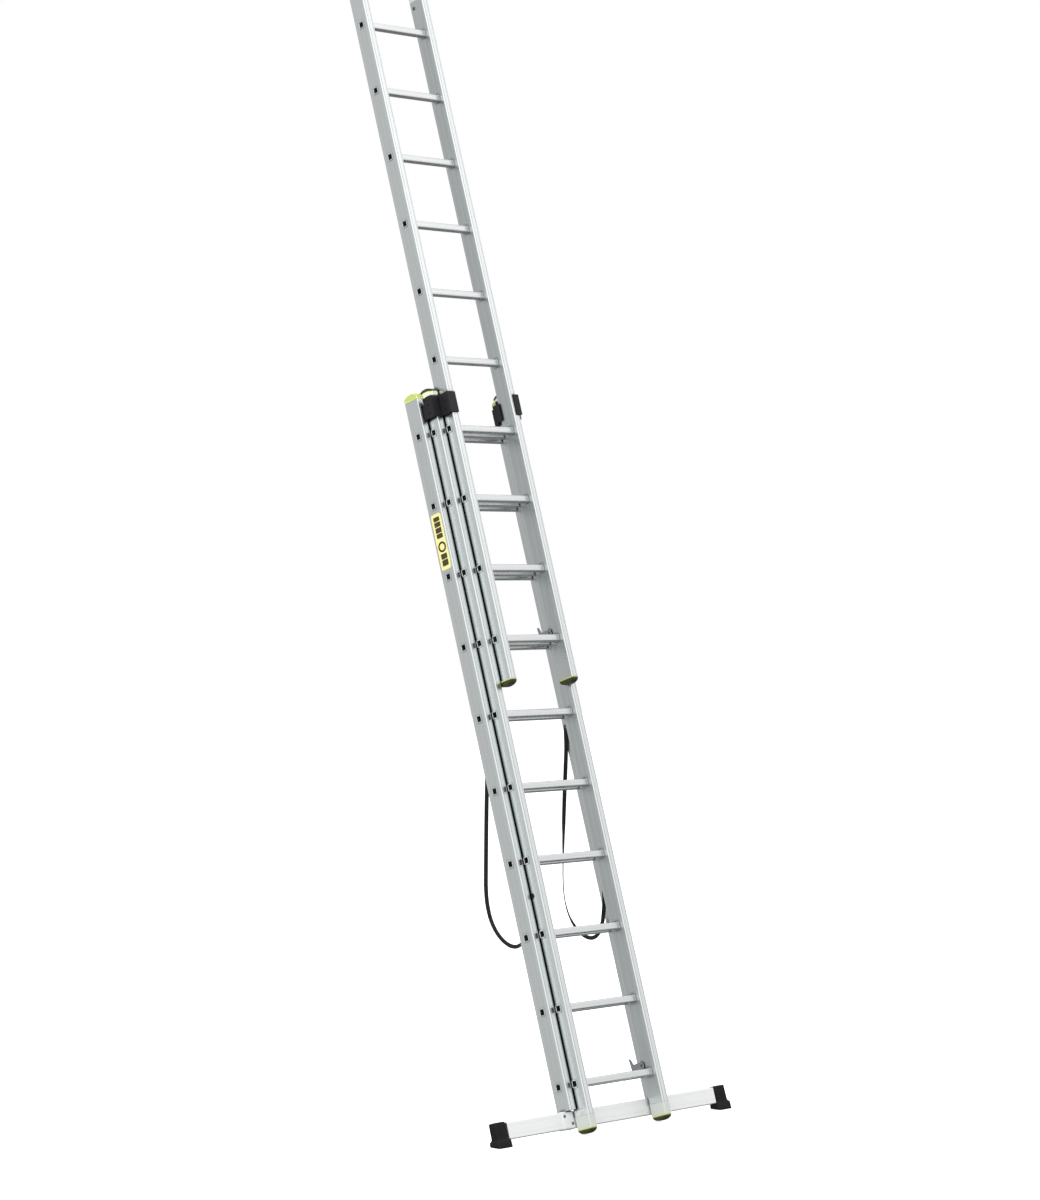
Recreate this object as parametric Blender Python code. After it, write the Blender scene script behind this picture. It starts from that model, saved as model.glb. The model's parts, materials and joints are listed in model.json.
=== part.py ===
"""Three-section aluminium combination ladder, leaning, with its top section raised six rungs.

Everything is modelled in the ladder's own frame and tilted as one: x runs across the ladder,
y is depth (plus is behind the ladder), z runs up the stiles, and zero is the middle of the
lowest rung of the middle section. Metres throughout.
"""
import bpy
import bmesh
from math import cos, sin, pi, radians
from mathutils import Vector
from mathutils.geometry import interpolate_bezier

# ---- driving dimensions -------------------------------------------------------------------
LEAN = radians(16.75)          # how far the ladder leans from upright
RUNG_PITCH = 0.280             # rung to rung
RUNGS = 10                     # in each section
RAISED_RUNGS = 6               # how far the top section is pulled out
FLOOR_BELOW = 0.1854           # the floor, straight below the frame's zero

STILE_WIDE = 0.0315            # stile tube, across the ladder
STILE_DEEP = 0.074             # stile tube, front to back
STILE_WALL = 0.0014
STILE_CHAMFER = 0.0035
STILE_TOP = 2.668              # end of every stile tube, above the lowest rung
STILE_FOOT = -0.161            # lower end of the top section's stile tubes
SHOE_TALL = 0.043              # so much more of the middle section's stiles is inside their feet
NEST_GAP = 0.003               # side play between nested sections
NEST_DEPTH = 0.052             # front-to-back pitch of the sections

RUNG_SIZE = 0.027              # rounded-square rung tube
RUNG_CORNER = 0.006
RUNG_WALL = 0.0012
RUNG_FLARE = 0.0018            # the swaged lip outside each stile
TOUCH = 0.0003                 # gap kept between pieces that touch
FIT = 0.0005                   # gap kept by pieces that slide

BASE_HALF = 0.247              # half the width over the stiles, widest section
STEP_IN = STILE_WIDE + NEST_GAP
MID_HALF = BASE_HALF - STEP_IN
FLY_HALF = MID_HALF - STEP_IN
BASE_DEPTH, MID_DEPTH, FLY_DEPTH = NEST_DEPTH, 0.0, -NEST_DEPTH
FLY_RAISE = RAISED_RUNGS * RUNG_PITCH

CAP_COLLAR = 0.006             # end caps: straight part and domed part
CAP_DOME = 0.018
WALL_COLLAR = 0.022            # the top section's upper caps, whose flat backs lean on the wall

BAR_LOW, BAR_HIGH = -0.154, -0.092      # stabiliser bar
BAR_FRONT, BAR_BACK = 0.042, 0.072
BAR_HALF = 0.545
BAR_WALL = 0.002
BAR_FOOT_LONG = 0.060
SADDLE_WALL = 0.0025

GUIDE_LOW, GUIDE_HIGH = 2.575, 2.658    # plastic stile guides at the top of base and middle
GUIDE_WALL = 0.004
GUIDE_BACK = 0.013
HINGE_DEPTH, HINGE_HIGH = 0.0443, 2.632  # axis on which base and middle swing apart
PIN_RADIUS = 0.0055
RELIEF_LOW = 2.618             # above this the guide's outer block slopes away from the base
RELIEF_FRONT = -0.015          # how far forward it slopes to, at its top

HOOK_PLATE = 0.004             # rung hooks
HOOK_PIVOT = (0.026, 0.030)    # depth and height of its pin from its own rung
HOOK_PIN = 0.004

STRAP_RADIUS = 0.005
# One strap's route in the ladder's frame (x, depth, height), from its bolt on the base's
# right stile, hanging straight down behind the ladder, and back in to the middle's stile.
STRAP_ROUTE = [
    (0.2085, 0.066, 1.365), (0.2085, 0.071, 1.340), (0.2080, 0.086, 1.280), (0.2070, 0.112, 1.205),
    (0.2060, 0.143, 1.120), (0.2050, 0.175, 1.030), (0.2045, 0.204, 0.945), (0.2040, 0.231, 0.865),
    (0.2040, 0.253, 0.795), (0.2035, 0.2655, 0.730), (0.2030, 0.2625, 0.665), (0.2025, 0.240, 0.608),
    (0.2020, 0.203, 0.566), (0.2010, 0.162, 0.548), (0.2000, 0.124, 0.556), (0.1990, 0.092, 0.588),
    (0.1980, 0.068, 0.632), (0.1972, 0.051, 0.676), (0.1968, 0.0425, 0.712),
]

# ---- materials ----------------------------------------------------------------------------
COLOURS = {
    "aluminium": ((0.62, 0.64, 0.64, 1.0), 0.38, 1.0),
    "rung_aluminium": ((0.70, 0.71, 0.71, 1.0), 0.34, 1.0),
    "lime_plastic": ((0.56, 0.62, 0.06, 1.0), 0.45, 0.0),
    "black_plastic": ((0.012, 0.012, 0.014, 1.0), 0.50, 0.0),
    "black_rubber": ((0.015, 0.015, 0.016, 1.0), 0.78, 0.0),
    "zinc_steel": ((0.40, 0.41, 0.42, 1.0), 0.42, 1.0),
    "black_webbing": ((0.010, 0.010, 0.011, 1.0), 0.90, 0.0),
}


def material(name):
    mat = bpy.data.materials.get(name)
    if mat is None:
        colour, rough, metal = COLOURS[name]
        mat = bpy.data.materials.new(name)
        mat.use_nodes = True
        shader = mat.node_tree.nodes["Principled BSDF"]
        shader.inputs["Base Color"].default_value = colour
        shader.inputs["Roughness"].default_value = rough
        shader.inputs["Metallic"].default_value = metal
        mat.diffuse_color = colour
    return mat


# ---- scene helpers ------------------------------------------------------------------------
def clear_scene():
    for obj in list(bpy.data.objects):
        bpy.data.objects.remove(obj, do_unlink=True)


def collection(name):
    coll = bpy.data.collections.new(name)
    bpy.context.scene.collection.children.link(coll)
    return coll


def empty(name, parent, location=(0, 0, 0)):
    obj = bpy.data.objects.new(name, None)
    obj.empty_display_size = 0.1
    obj.location = location
    obj.parent = parent
    PARTS.objects.link(obj)
    return obj


def add(name, mesh, mat, parent, location=(0, 0, 0), coll=None):
    if mat and not mesh.materials:
        mesh.materials.append(material(mat))
    obj = bpy.data.objects.new(name, mesh)
    obj.location = location
    obj.parent = parent
    (coll or PARTS).objects.link(obj)
    return obj


def cutter(name, mesh, parent, location=(0, 0, 0)):
    obj = add(name, mesh, None, parent, location, CUTTERS)
    obj.hide_render = True
    obj.display_type = "WIRE"
    return obj


def boolean(obj, tool, operation):
    mod = obj.modifiers.new(operation.title(), "BOOLEAN")
    mod.operation = operation
    mod.solver = "EXACT"
    mod.object = tool


def finish_mesh(bm, name):
    bmesh.ops.recalc_face_normals(bm, faces=bm.faces[:])
    mesh = bpy.data.meshes.new(name)
    bm.to_mesh(mesh)
    bm.free()
    return mesh


# ---- outlines and solids ------------------------------------------------------------------
def rounded_box(wide, deep, radius, steps):
    """Corners of a rectangle with round (or, with one step, chamfered) corners."""
    points = []
    for k, (sx, sy) in enumerate(((1, 1), (-1, 1), (-1, -1), (1, -1))):
        cx, cy = sx * (wide / 2 - radius), sy * (deep / 2 - radius)
        for i in range(steps + 1):
            a = pi / 2 * (k + i / steps)
            points.append((cx + radius * cos(a), cy + radius * sin(a)))
    return points


def loft(rings, ring_loop=False):
    """A closed solid through rings of points: capped at both ends, or joined end to start."""
    bm = bmesh.new()
    loops = [[bm.verts.new(p) for p in ring] for ring in rings]
    count = len(loops)
    for i in range(count if ring_loop else count - 1):
        a, b = loops[i], loops[(i + 1) % count]
        for j in range(len(a)):
            k = (j + 1) % len(a)
            bm.faces.new((a[j], a[k], b[k], b[j]))
    if not ring_loop:
        bm.faces.new(loops[0])
        bm.faces.new(loops[-1])
    return bm


def prism(outline, axis, start, stop):
    """An outline extruded along one axis: its points are the other two axes, in order."""
    def at(u, v, t):
        return (t, u, v) if axis == "x" else (u, v, t)
    return loft([[at(u, v, t) for u, v in outline] for t in (start, stop)])


def cylinder(radius, axis, start, stop, centre=(0, 0), sides=12):
    ring = [(centre[0] + radius * cos(2 * pi * i / sides), centre[1] + radius * sin(2 * pi * i / sides))
            for i in range(sides)]
    return prism(ring, axis, start, stop)


def merge(*parts):
    """Several bmeshes as one, for a cutter made of separate bodies."""
    whole = bmesh.new()
    for bm in parts:
        mesh = bpy.data.meshes.new("merge")
        bm.to_mesh(mesh)
        bm.free()
        whole.from_mesh(mesh)
        bpy.data.meshes.remove(mesh)
    return whole


# ---- sub-parts ----------------------------------------------------------------------------
def stile_mesh(name, low, high):
    """Hollow stile tube, open at both ends, standing on its own axis."""
    outer = rounded_box(STILE_WIDE, STILE_DEEP, STILE_CHAMFER, 1)
    inner = rounded_box(STILE_WIDE - 2 * STILE_WALL, STILE_DEEP - 2 * STILE_WALL, STILE_CHAMFER / 2, 1)
    rings = [[(u, v, z) for u, v in outline] for outline, z in
             ((outer, low), (outer, high), (inner, high), (inner, low))]
    return finish_mesh(loft(rings, ring_loop=True), name)


def rung_holes(half_tube):
    """Chamfered square holes for all the rungs of one section, through both webs."""
    size = RUNG_SIZE + 2 * TOUCH
    outline = rounded_box(size, size, RUNG_CORNER * 0.6, 1)
    reach = half_tube + 0.01
    return [prism([(u, v + k * RUNG_PITCH) for u, v in outline], "x", -reach, reach)
            for k in range(RUNGS)]


def rung_mesh(half):
    """Rounded-square rung tube right through both stiles, with a swaged lip at each end."""
    tube = rounded_box(RUNG_SIZE, RUNG_SIZE, RUNG_CORNER, 2)
    bore = rounded_box(RUNG_SIZE - 2 * RUNG_WALL, RUNG_SIZE - 2 * RUNG_WALL, RUNG_CORNER - RUNG_WALL, 2)
    grown = RUNG_SIZE + 2 * RUNG_FLARE
    lip = rounded_box(grown, grown, RUNG_CORNER + RUNG_FLARE, 2)
    near, far = half + TOUCH, half + RUNG_FLARE
    rings = [(bore, -far), (lip, -far), (tube, -near), (tube, near), (lip, far), (bore, far)]
    return finish_mesh(loft([[(x, u, v) for u, v in o] for o, x in rings], ring_loop=True), "rung")


def cap_mesh(collar):
    """Domed plastic end cap, its dome towards plus z, its foot at zero."""
    half = STILE_DEEP / 2 + 0.0005
    arc = [(half * cos(pi * i / 10), collar + CAP_DOME * sin(pi * i / 10)) for i in range(11)]
    outline = [(half, 0.0)] + arc + [(-half, 0.0)]
    side = STILE_WIDE / 2 + 0.0005
    inset = [(y * 0.955, collar + (z - collar) * 0.90 if z > collar else z) for y, z in outline]
    rings = [(inset, -side), (outline, -side + 0.002), (outline, side - 0.002), (inset, side)]
    return finish_mesh(loft([[(x, y, z) for y, z in o] for o, x in rings]), "end_cap")


def section(prefix, parent, half, depth, low, side_holes):
    """Two stiles and ten rungs. side_holes are extra pin holes in the inner webs, as (y, z)."""
    axis = half - STILE_WIDE / 2
    stile = stile_mesh(prefix + "_stile", low, STILE_TOP)
    rung = rung_mesh(half)
    for side, sign in (("l", -1), ("r", 1)):
        tools = rung_holes(STILE_WIDE / 2)
        for y, z, radius in side_holes:
            ends = sorted((-sign * (STILE_WIDE / 2 + 0.004), -sign * 0.004))
            tools.append(cylinder(radius + FIT, "x", *ends, centre=(y - depth, z)))
        place = (sign * axis, depth, 0)
        body = add(f"{prefix}_stile_{side}", stile.copy(), "aluminium", parent, place)
        tool = cutter(f"cut_{prefix}_{side}", finish_mesh(merge(*tools), "holes"), parent, place)
        boolean(body, tool, "DIFFERENCE")
    for k in range(RUNGS):
        add(f"{prefix}_rung_{k + 1:02d}", rung, "rung_aluminium", parent, (0, depth, k * RUNG_PITCH))


def caps(prefix, what, parent, half, depth, z, turned=False, collar=CAP_COLLAR):
    mesh = cap_mesh(collar)
    for side, sign in (("l", -1), ("r", 1)):
        obj = add(f"{prefix}_{what}_{side}", mesh, "lime_plastic", parent,
                  (sign * (half - STILE_WIDE / 2), depth, z))
        if turned:
            obj.rotation_euler.x = pi


def stabiliser(parent):
    """Floor bar under the base's stiles, with a sleeve at each stile."""
    tall, deep = BAR_HIGH - BAR_LOW, BAR_BACK - BAR_FRONT
    middle = ((BAR_FRONT + BAR_BACK) / 2, (BAR_LOW + BAR_HIGH) / 2)

    def around(grow, radius, x):
        return [(x, u + middle[0], v + middle[1])
                for u, v in rounded_box(deep + 2 * grow, tall + 2 * grow, radius, 1)]

    inner, outer = MID_HALF + NEST_GAP, BASE_HALF + 0.022
    rings = [around(-BAR_WALL, 0.001, -BAR_HALF)]
    for x, grow in ((-BAR_HALF, 0), (-outer, 0), (-outer, SADDLE_WALL), (-inner, SADDLE_WALL), (-inner, 0),
                    (inner, 0), (inner, SADDLE_WALL), (outer, SADDLE_WALL), (outer, 0), (BAR_HALF, 0)):
        rings.append(around(grow, 0.003 + max(grow, 0), x))
    rings.append(around(-BAR_WALL, 0.001, BAR_HALF))
    add("stabiliser_bar", finish_mesh(loft(rings, ring_loop=True), "stabiliser_bar"), "aluminium", parent)

    def floor_z(y):
        return (-FLOOR_BELOW + y * sin(LEAN)) / cos(LEAN)

    def boot_ring(grow, z=None):
        half_x = BAR_FOOT_LONG / 2 + grow
        half_y = deep / 2 + 0.006 + grow
        points = [(u, v + middle[0]) for u, v in rounded_box(2 * half_x, 2 * half_y, 0.006, 2)]
        return [(u, v, floor_z(v) if z is None else z) for u, v in points]

    top = BAR_HIGH + 0.004
    boot = loft([boot_ring(-0.003, top), boot_ring(-0.001, top - 0.003), boot_ring(-0.0005, BAR_LOW + 0.012),
                 boot_ring(0.0035, BAR_LOW + 0.002), boot_ring(0.0045, BAR_LOW - 0.010), boot_ring(0.003)])
    mesh = finish_mesh(boot, "stabiliser_foot")
    for side, sign in (("l", -1), ("r", 1)):
        place = sign * (BAR_HALF + TOUCH + BAR_FOOT_LONG / 2 + 0.0045)
        add(f"stabiliser_foot_{side}", mesh, "black_rubber", parent, (place, 0, 0))


def guide_mesh(half, depth, lip_from):
    """Plastic guide round the outside and back of a right-hand stile, as one C-shaped block.

    half and depth are the guided stile's. lip_from is how far in its front lip reaches.
    """
    front, back = depth - STILE_DEEP / 2, depth + STILE_DEEP / 2
    outer_front = front + NEST_DEPTH - TOUCH
    slot_in, slot_out = half + FIT, half + NEST_GAP - FIT
    block = slot_out + 0.0165
    relief = RUNG_SIZE / 2 + RUNG_FLARE + FIT
    outline = [
        (lip_from, front - FIT - GUIDE_WALL), (block, front - FIT - GUIDE_WALL), (block, outer_front),
        (slot_out + STILE_CHAMFER, outer_front), (slot_out, outer_front + STILE_CHAMFER),
        (slot_out, back + FIT + GUIDE_BACK),
        (half - STILE_WIDE - 0.012, back + FIT + GUIDE_BACK), (half - STILE_WIDE - 0.012, depth + 0.025),
        (half - STILE_WIDE - 0.001, depth + 0.025), (half - STILE_WIDE - 0.001, back + FIT),
        (slot_in, back + FIT), (slot_in, depth + relief), (slot_out, depth + relief),
        (slot_out, depth - relief), (slot_in, depth - relief), (slot_in, front - FIT), (lip_from, front - FIT),
    ]
    bm = prism(outline, "z", GUIDE_LOW, GUIDE_HIGH)
    return finish_mesh(bm, "stile_guide")


def swing_relief(sign, half, depth, origin):
    """The wedge cut from a hinge guide's outer block, which would swing into the base's stile."""
    back = depth + NEST_DEPTH - STILE_DEEP / 2 + STILE_CHAMFER
    over = GUIDE_HIGH + 0.002
    outline = [(back, RELIEF_LOW), (back, over), (RELIEF_FRONT, over), (back - STILE_CHAMFER, RELIEF_LOW)]
    ends = sorted((sign * (half + 0.0001), sign * (half + 0.030)))
    return finish_mesh(prism([(y - origin[1], z - origin[2]) for y, z in outline], "x", *ends), "relief")


def guides(name, parent, half, depth, lip_from, pin, origin=(0, 0, 0)):
    """A pair of stile guides. With a pin they turn on the stile outside; the others are screwed to it."""
    mesh = guide_mesh(half, depth, lip_from)
    mirrored = mesh.copy()
    for vert in mirrored.vertices:
        vert.co.x = -vert.co.x
    mirrored.flip_normals()
    ox, oy, oz = origin
    for side, sign, own in (("l", -1, mirrored), ("r", 1, mesh)):
        for vert in own.vertices:
            vert.co -= Vector(origin)
        obj = add(f"{name}_{side}", own, "black_plastic", parent)
        if pin:
            reach = sorted((sign * (half + 0.0005), sign * (half + NEST_GAP + 0.010)))
            tool = cylinder(PIN_RADIUS, "x", *reach, centre=(HINGE_DEPTH - oy, HINGE_HIGH - oz))
            boolean(obj, cutter(f"cut_{name}_pin_{side}", finish_mesh(tool, "pin"), parent), "UNION")
            tool = swing_relief(sign, half, depth, origin)
            boolean(obj, cutter(f"cut_{name}_relief_{side}", tool, parent), "DIFFERENCE")


def hooks(name, parent, half, depth, z):
    """A pair of spring hooks. Each turns on a pin in its stile and drops over the rung behind."""
    py, pz = HOOK_PIVOT
    rung_back = NEST_DEPTH + RUNG_SIZE / 2
    over = RUNG_SIZE / 2 + 0.003
    outline = [
        (py - 0.010, pz - 0.009), (py - 0.004, over), (rung_back + 0.0045, over),
        (rung_back + 0.0045, 0.002), (rung_back + 0.009, -0.006), (rung_back + 0.0165, 0.004),
        (rung_back + 0.0175, over + 0.018), (rung_back + 0.0215, over + 0.047), (rung_back + 0.0145, over + 0.049),
        (rung_back + 0.003, over + 0.024), (py + 0.004, pz + 0.013), (py - 0.008, pz + 0.010),
    ]
    local = [(y - py, v - pz) for y, v in outline]
    inner = half - STILE_WIDE
    for side, sign in (("l", -1), ("r", 1)):
        origin = empty(f"{name}_{side}_axis", parent, (0, depth + py, z + pz))
        faces = sorted((sign * (inner - 0.0025), sign * (inner - 0.0025 - HOOK_PLATE)))
        plate = add(f"{name}_{side}", finish_mesh(prism(local, "x", *faces), "rung_hook"), "zinc_steel", origin)
        pin = sorted((sign * (inner - 0.0045), sign * (inner + 0.010)))
        tool = finish_mesh(cylinder(HOOK_PIN, "x", *pin), "pin")
        boolean(plate, cutter(f"cut_{name}_{side}", tool, origin), "UNION")


def smooth_route(points, steps):
    """A smooth curve through hand-placed points, read off at even parameters."""
    pts = [Vector(p) for p in points]
    out = []
    for i in range(len(pts) - 1):
        before, after = pts[max(i - 1, 0)], pts[min(i + 2, len(pts) - 1)]
        a, b = pts[i], pts[i + 1]
        reach = (b - a).length / 3
        h1 = a + (b - before).normalized() * reach
        h2 = b - (after - a).normalized() * reach
        out += interpolate_bezier(a, h1, h2, b, steps + 1)[:-1]
    return out + [pts[-1]]


def strap(side, sign, parent):
    route = [(sign * x, y, z) for x, y, z in STRAP_ROUTE]
    curve = bpy.data.curves.new("strap", "CURVE")
    curve.dimensions = "3D"
    points = smooth_route(route, 2)
    spline = curve.splines.new("POLY")
    spline.points.add(len(points) - 1)
    for place, co in zip(spline.points, points):
        place.co = (*co, 1.0)
    curve.bevel_depth = STRAP_RADIUS
    curve.bevel_resolution = 2
    curve.use_fill_caps = True
    add(f"spreader_strap_{side}", curve, "black_webbing", parent)


# ---- the ladder ---------------------------------------------------------------------------
def build(frame):
    hinge = (0, HINGE_DEPTH, HINGE_HIGH)
    hinge_pin = [(HINGE_DEPTH, HINGE_HIGH, PIN_RADIUS)]
    py, pz = HOOK_PIVOT

    base = empty("base_frame", frame)
    section("base", base, BASE_HALF, BASE_DEPTH, BAR_HIGH + TOUCH + SADDLE_WALL, hinge_pin)
    caps("base", "top_cap", base, BASE_HALF, BASE_DEPTH, STILE_TOP + TOUCH)
    stabiliser(base)

    swing = empty("hinge_frame", frame, hinge)
    guides("hinge_guide", swing, MID_HALF, MID_DEPTH, MID_HALF - 0.0135, True, hinge)

    mid = empty("mid_frame", frame)
    section("mid", mid, MID_HALF, MID_DEPTH, STILE_FOOT + SHOE_TALL, [(MID_DEPTH + py, pz, HOOK_PIN)])
    caps("mid", "top_cap", mid, MID_HALF, MID_DEPTH, STILE_TOP + TOUCH)
    caps("mid", "foot", mid, MID_HALF, MID_DEPTH, STILE_FOOT + SHOE_TALL - TOUCH, turned=True,
         collar=CAP_COLLAR + SHOE_TALL)
    guides("fly_guide", mid, FLY_HALF, FLY_DEPTH, FLY_HALF - 0.0260, False)
    hooks("mid_hook", mid, MID_HALF, MID_DEPTH, 0.0)

    fly = empty("fly_frame", frame, (0, 0, FLY_RAISE))
    section("fly", fly, FLY_HALF, FLY_DEPTH, STILE_FOOT, [(FLY_DEPTH + py, pz, HOOK_PIN)])
    caps("fly", "top_cap", fly, FLY_HALF, FLY_DEPTH, STILE_TOP + TOUCH, collar=WALL_COLLAR)
    caps("fly", "bottom_cap", fly, FLY_HALF, FLY_DEPTH, STILE_FOOT - TOUCH, turned=True)
    hooks("fly_hook", fly, FLY_HALF, FLY_DEPTH, 0.0)

    for side, sign in (("l", -1), ("r", 1)):
        strap(side, sign, base)


def stand_on_floor(frame):
    """Tilt the frame, then put the floor at z = 0 and the middle of the footprint at zero."""
    frame.rotation_euler.x = -LEAN
    bpy.context.view_layer.update()
    ys = []
    for obj in PARTS.objects:
        if obj.type in {"MESH", "CURVE"} and not obj.name.startswith("spreader_strap"):
            ys += [(obj.matrix_world @ Vector(corner)).y for corner in outer_points(obj)]
    frame.location = (0, -(min(ys) + max(ys)) / 2, FLOOR_BELOW)
    bpy.context.view_layer.update()


def outer_points(obj):
    shape = obj.evaluated_get(bpy.context.evaluated_depsgraph_get())
    return [vert.co for vert in shape.data.vertices]


clear_scene()
PARTS = collection("combination_ladder")
CUTTERS = collection("cutters")
ladder_frame = empty("ladder_frame", None)
build(ladder_frame)
stand_on_floor(ladder_frame)
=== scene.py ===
"""Looks of the three-section extension ladder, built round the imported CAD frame.

Every piece is modelled in the ladder's own frame, as in the CAD: x runs across the ladder,
y is depth (plus is behind it), z runs up the stiles, and zero is the middle of the middle
section's lowest rung. LADDER then tilts it into the row frame. Metres throughout.
"""
import json
from math import cos, sin, pi, radians

import bmesh
import bpy
from mathutils import Matrix, Vector
from mathutils.geometry import interpolate_bezier


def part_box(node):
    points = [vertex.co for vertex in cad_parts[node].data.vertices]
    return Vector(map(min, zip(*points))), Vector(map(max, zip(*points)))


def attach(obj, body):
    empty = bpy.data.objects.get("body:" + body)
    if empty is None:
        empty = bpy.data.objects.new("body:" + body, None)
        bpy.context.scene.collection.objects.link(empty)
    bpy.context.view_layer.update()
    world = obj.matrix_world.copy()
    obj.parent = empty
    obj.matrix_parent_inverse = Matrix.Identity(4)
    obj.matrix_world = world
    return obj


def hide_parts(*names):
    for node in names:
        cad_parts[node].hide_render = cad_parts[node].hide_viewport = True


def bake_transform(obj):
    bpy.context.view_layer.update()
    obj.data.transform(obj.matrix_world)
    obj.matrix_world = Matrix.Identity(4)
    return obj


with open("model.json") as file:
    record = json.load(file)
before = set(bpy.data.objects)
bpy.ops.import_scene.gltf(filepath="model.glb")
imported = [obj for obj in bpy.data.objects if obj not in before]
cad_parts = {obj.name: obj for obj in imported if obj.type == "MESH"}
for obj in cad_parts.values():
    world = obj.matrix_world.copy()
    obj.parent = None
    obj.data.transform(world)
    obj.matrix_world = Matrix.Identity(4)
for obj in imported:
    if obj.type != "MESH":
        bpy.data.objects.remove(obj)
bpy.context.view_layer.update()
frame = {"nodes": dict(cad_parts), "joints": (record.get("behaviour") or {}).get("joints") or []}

JOINTS = {joint["name"]: joint for joint in frame["joints"]}
UP = Vector(JOINTS["mid_slide"]["axis"]).normalized()
BACK = Vector((0, UP.z, -UP.y))
ZERO = sum(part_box("mid_rung_01"), Vector()) / 2
LADDER = Matrix.Translation(ZERO) @ Matrix((Vector((1, 0, 0)), BACK, UP)).transposed().to_4x4()
TO_LADDER = LADDER.inverted()
SIDES = (("l", -1), ("r", 1))  # (name's ending, sign of x)
SECTIONS = ("base", "mid", "fly")
RUNGS = 10


def local_box(node):
    """(lowest corner, highest corner) of a CAD node in the ladder's frame."""
    points = [TO_LADDER @ vert.co for vert in frame["nodes"][node].data.vertices]
    low = Vector([min(point[axis] for point in points) for axis in range(3)])
    high = Vector([max(point[axis] for point in points) for axis in range(3)])
    return low, high


def joint_place(name):
    return TO_LADDER @ Vector(JOINTS[name]["pos_m"])


STILE = {section: local_box(section + "_stile_r") for section in SECTIONS}
RUNG_SIZE = 0.027              # the rung tube without its swaged lips
RUNG_CORNER = 0.006
RUNG_WALL = 0.0012
STILE_WIDE = STILE["mid"][1].x - STILE["mid"][0].x
STILE_DEEP = STILE["mid"][1].y - STILE["mid"][0].y
STILE_WALL = 0.0014
STILE_CORNER = 0.0035
PITCH = local_box("mid_rung_02")[0].z - local_box("mid_rung_01")[0].z
TOUCH = 0.0003                 # the gap that neighbours which touch keep
CLEAR = 0.0001                 # the same for small fixings
NEST_GAP = 0.003               # the gap between one section's stiles and the next one's


def depth_of(section):
    return (STILE[section][0].y + STILE[section][1].y) / 2


def half_of(section):
    return STILE[section][1].x


SECTION_STEP = depth_of("base") - depth_of("mid")

# ---- camera --------------------------------------------------------------
# The place is measured from ZERO. The roll is the drop of the view's right side per metre.
CAMERA_FROM_ZERO = Vector((-8.3306, -8.18986, 1.7708))
VIEW_AZIMUTH = radians(43.85)
CAMERA_ROLL = 0.0108
LENS, SENSOR = 94.63, 36.0


def make_camera():
    data = bpy.data.cameras.new("camera")
    data.lens, data.sensor_width = LENS, SENSOR
    camera = bpy.data.objects.new("camera", data)
    bpy.context.scene.collection.objects.link(camera)
    look = Vector((sin(VIEW_AZIMUTH), cos(VIEW_AZIMUTH), 0))
    right = Vector((cos(VIEW_AZIMUTH), -sin(VIEW_AZIMUTH), -CAMERA_ROLL)).normalized()
    turn = Matrix((right, right.cross(look).normalized(), -look)).transposed().to_4x4()
    camera.matrix_world = Matrix.Translation(ZERO + CAMERA_FROM_ZERO) @ turn
    bpy.context.scene.camera = camera


# ---- materials -----------------------------------------------------------
def node(tree, kind, inputs=None, **settings):
    made = tree.nodes.new(kind)
    for key, value in settings.items():
        setattr(made, key, value)
    for key, value in (inputs or {}).items():
        made.inputs[key].default_value = value
    return made


def noise(tree, place, stretch, scale, detail=3.0, rough=0.55):
    """Noise stretched by a vector in the ladder's frame."""
    mapping = node(tree, "ShaderNodeMapping", {"Scale": [1 / share for share in stretch],
                                               "Rotation": LADDER.to_euler(), "Location": ZERO},
                   vector_type="TEXTURE")
    tree.links.new(place, mapping.inputs["Vector"])
    made = node(tree, "ShaderNodeTexNoise", {"Scale": scale, "Detail": detail, "Roughness": rough})
    tree.links.new(mapping.outputs["Vector"], made.inputs["Vector"])
    return made.outputs["Fac"]


def spread(tree, value, low, high, to_low, to_high):
    """The value, mapped from low..high to to_low..to_high and held between them."""
    made = node(tree, "ShaderNodeMapRange",
                {"From Min": low, "From Max": high, "To Min": to_low, "To Max": to_high})
    tree.links.new(value, made.inputs["Value"])
    return made.outputs["Result"]


def mixed(tree, factor, first, second, blend="MIX"):
    """Colour mix. Factor, first and second are sockets or constants."""
    made = node(tree, "ShaderNodeMix", data_type="RGBA", blend_type=blend)
    for key, value in ((0, factor), (6, first), (7, second)):
        if isinstance(value, bpy.types.NodeSocket):
            tree.links.new(value, made.inputs[key])
        else:
            made.inputs[key].default_value = value
    return made.outputs[2]


def bumps(tree, heights):
    """A chain of bumps from (height socket, strength, distance) rows."""
    last = None
    for height, strength, distance in heights:
        made = node(tree, "ShaderNodeBump", {"Strength": strength, "Distance": distance})
        tree.links.new(height, made.inputs["Height"])
        if last:
            tree.links.new(last, made.inputs["Normal"])
        last = made.outputs["Normal"]
    return last


# Painted shade: beside narrow gaps the colour darkens towards this tone, where other parts' shade falls.
PAINTED_SHADE = (0.16, 0.17, 0.18, 1)
PAINTED_SHADE_FULL, PAINTED_SHADE_NONE = 0.60, 0.96    # how open a surface is where the painted shade is full, and where it ends
EDGE_LOW, EDGE_HIGH = 0.52, 0.60       # how sharp an edge is where wear starts, and where it is full


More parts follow.
